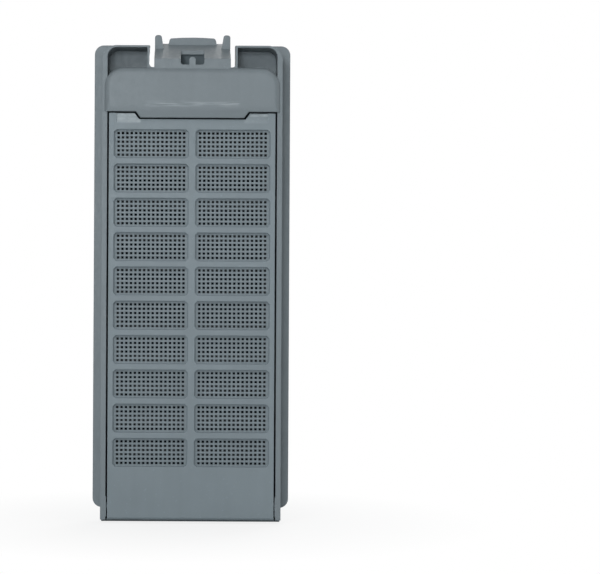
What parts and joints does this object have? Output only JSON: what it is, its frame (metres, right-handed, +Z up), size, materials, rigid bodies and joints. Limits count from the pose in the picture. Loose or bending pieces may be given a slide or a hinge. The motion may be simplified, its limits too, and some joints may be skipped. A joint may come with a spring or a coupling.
{
  "type": "washing machine lint filter",
  "caption": "Clip-in lint filter: slotted front case with finger scoop and latch tongue, closed behind by a hinged perforated screen door.",
  "frame": {"origin": "on the seat plane behind the flange, at the middle of the flange's lower edge", "axes": "+Z up along the filter's length towards the latch, -Y towards the screen door and the pocket, +Y towards the drum, X across"},
  "size_m": [0.072, 0.0181, 0.1783],
  "materials": {
    "case_plastic": "satin blue-grey moulded plastic",
    "door_plastic": "satin blue-grey moulded plastic"
  },
  "bodies": {
    "case": {"front_case": "case_plastic"},
    "door": {"screen_door": "door_plastic"}
  },
  "joints": [
    {"name": "door_hinge", "type": "hinge", "parent": "case", "child": "door", "pos_m": [0, -0.0096, 0.0016], "axis": [1, 0, 0], "range_deg": [0, 110]}
  ]
}
